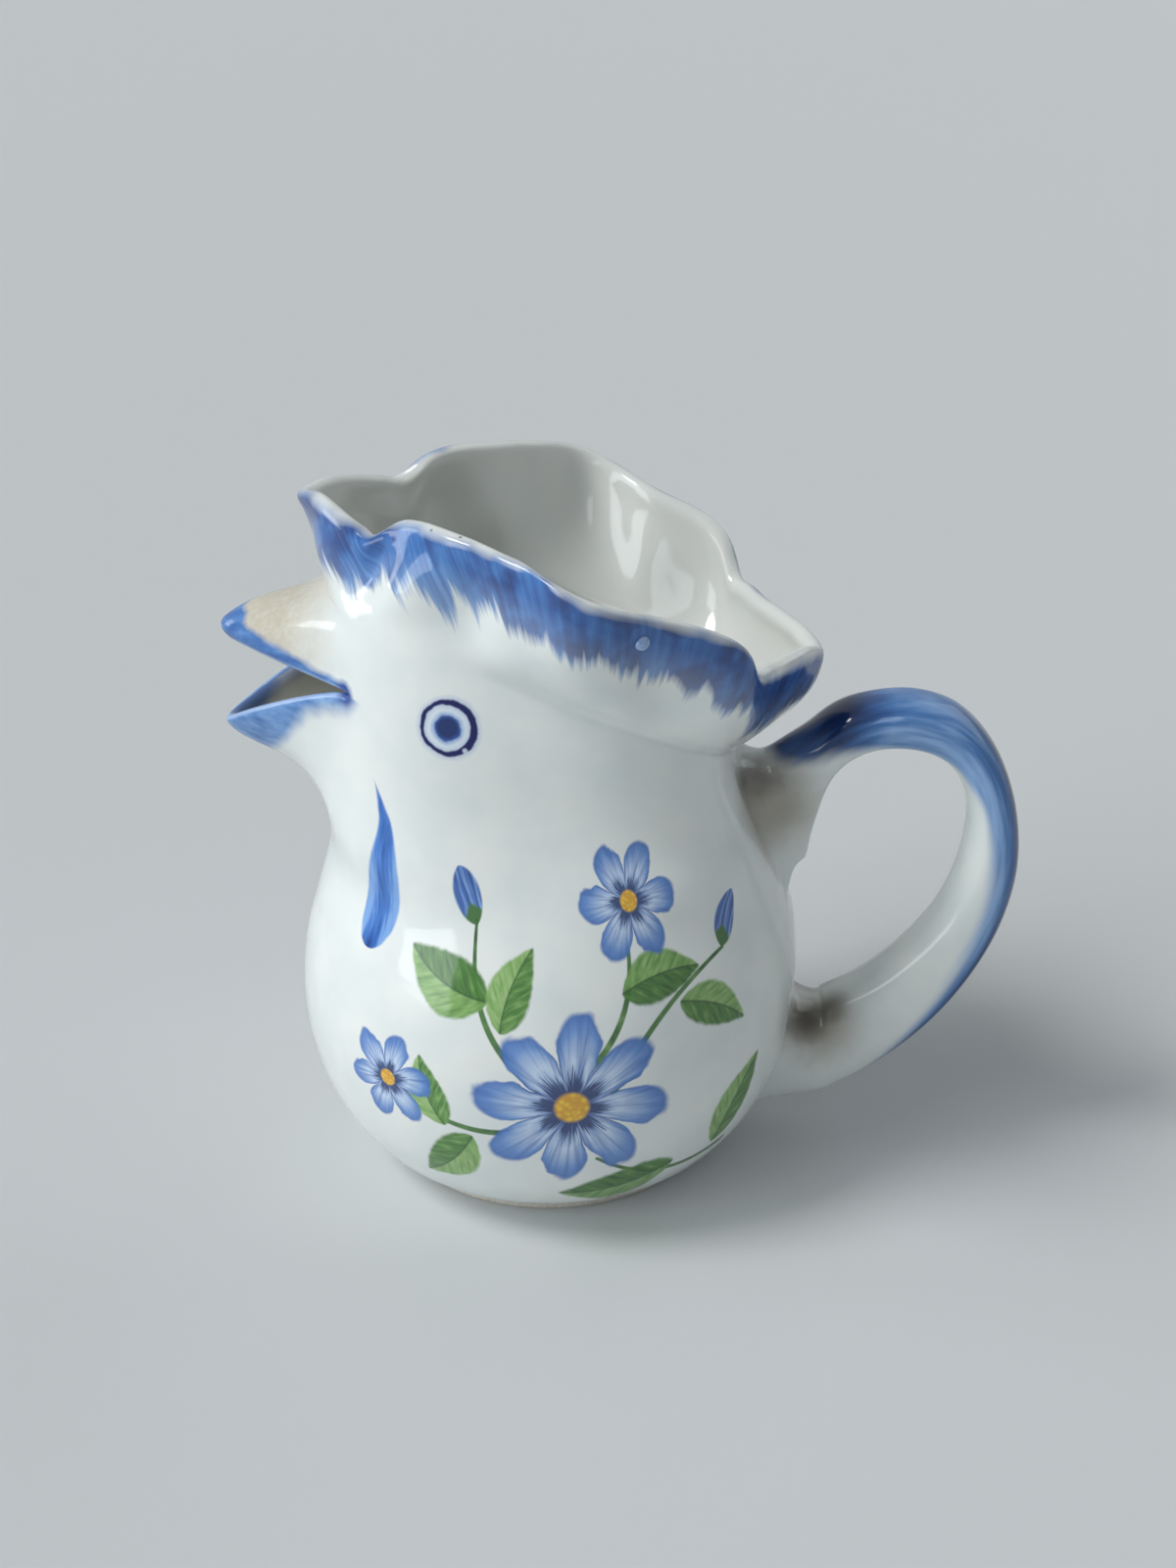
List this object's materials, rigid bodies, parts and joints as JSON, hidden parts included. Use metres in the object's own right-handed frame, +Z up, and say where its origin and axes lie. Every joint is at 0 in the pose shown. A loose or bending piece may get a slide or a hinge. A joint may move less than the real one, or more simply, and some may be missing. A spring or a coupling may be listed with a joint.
{
  "type": "chicken pitcher",
  "caption": "Small glazed hen-shaped cream pitcher with an open beak spout, scalloped comb mouth, strap handle and hand-brushed blue flowers.",
  "frame": {"origin": "centre of the foot ring, on the surface that the pitcher stands on", "axes": "+Z up, +X towards the handle, -X towards the beak, +Y to the hen's right-hand side away from the usual view"},
  "size_m": [0.1408, 0.0896, 0.1242],
  "materials": {
    "white_glaze": "cool white glaze with brushed underglaze flowers",
    "comb_glaze": "white glaze with a blue brushed edge",
    "beak_glaze": "cream and blue brushed glaze",
    "handle_glaze": "white glaze with a blue brushed outer face",
    "bare_clay": "unglazed, wiped foot"
  },
  "bodies": {
    "root": {"body_casting": "white_glaze", "comb": "comb_glaze", "upper_beak": "beak_glaze", "lower_beak": "beak_glaze", "handle": "handle_glaze", "top_slip_joint": "white_glaze", "foot_slip_joint": "white_glaze", "foot_ring": "bare_clay"}
  },
  "joints": []
}
